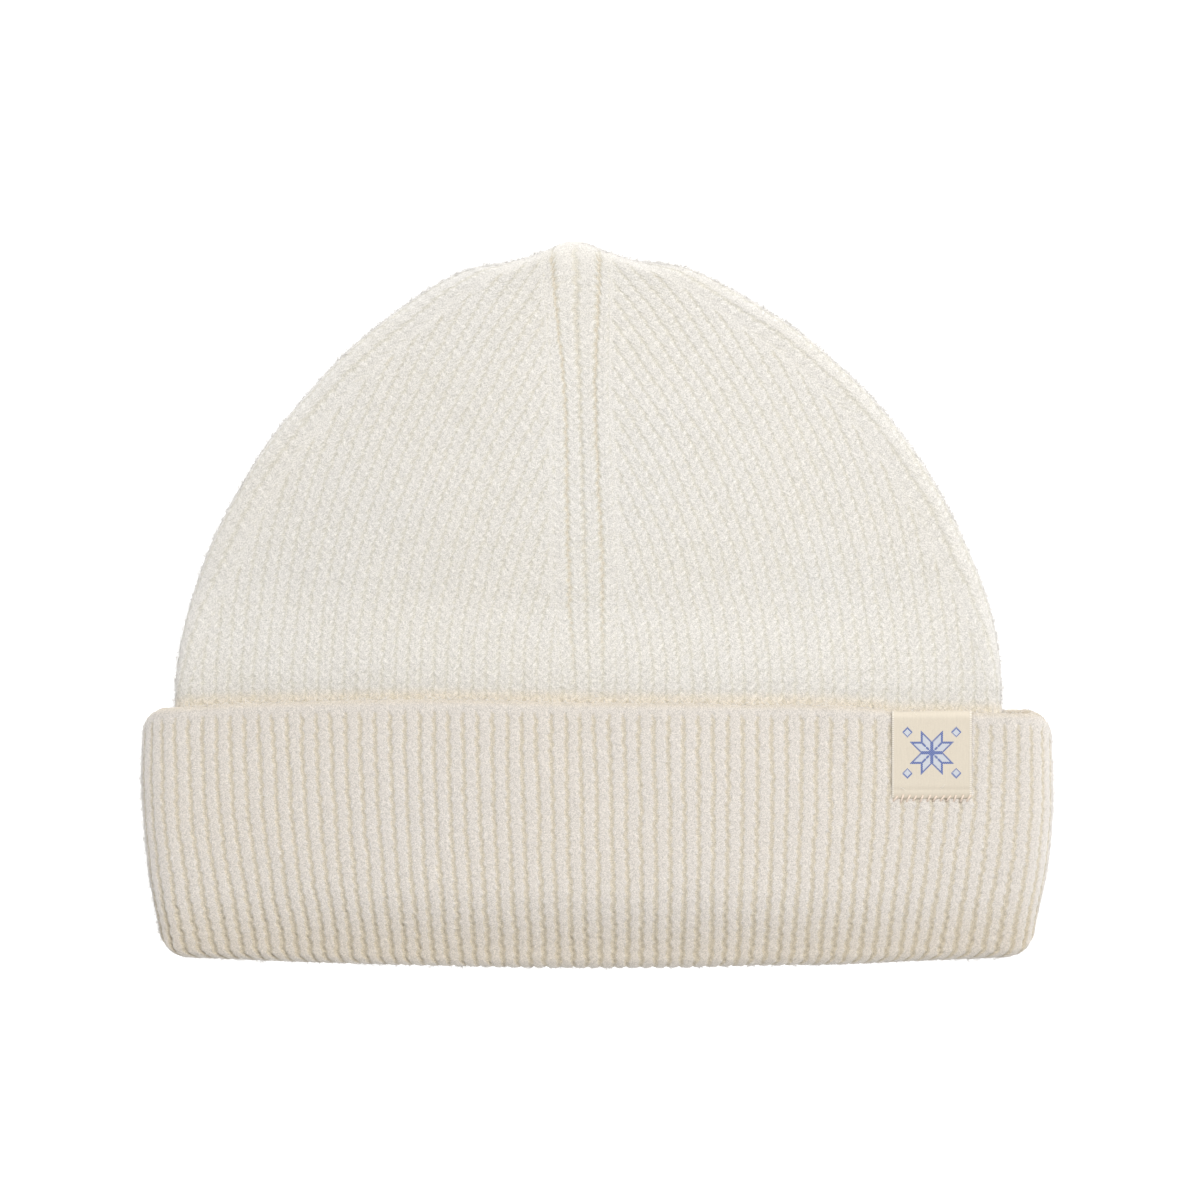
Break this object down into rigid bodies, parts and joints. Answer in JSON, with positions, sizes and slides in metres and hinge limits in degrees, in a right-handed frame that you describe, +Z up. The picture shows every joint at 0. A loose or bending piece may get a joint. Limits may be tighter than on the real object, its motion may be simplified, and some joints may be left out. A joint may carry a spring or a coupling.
{
  "type": "watch cap",
  "caption": "Ribbed knit watch cap with a turned-up cuff and a small folded woven label, lying flat on its back, open at the bottom edge for the head",
  "frame": {"origin": "the middle of the lying cap's footprint, on the surface that it lies on", "axes": "+X across the cap to the label's side, +Y from the folded bottom edge to the tip of the crown, +Z up, through the thickness of the lying cap"},
  "size_m": [0.231, 0.1841, 0.0286],
  "materials": {
    "knit": "matt chunky rib knit in undyed cream wool",
    "woven_label": "finely woven cream label with a small blue pattern"
  },
  "bodies": {
    "root": {"knit_body": "knit", "label": "woven_label"}
  },
  "joints": []
}
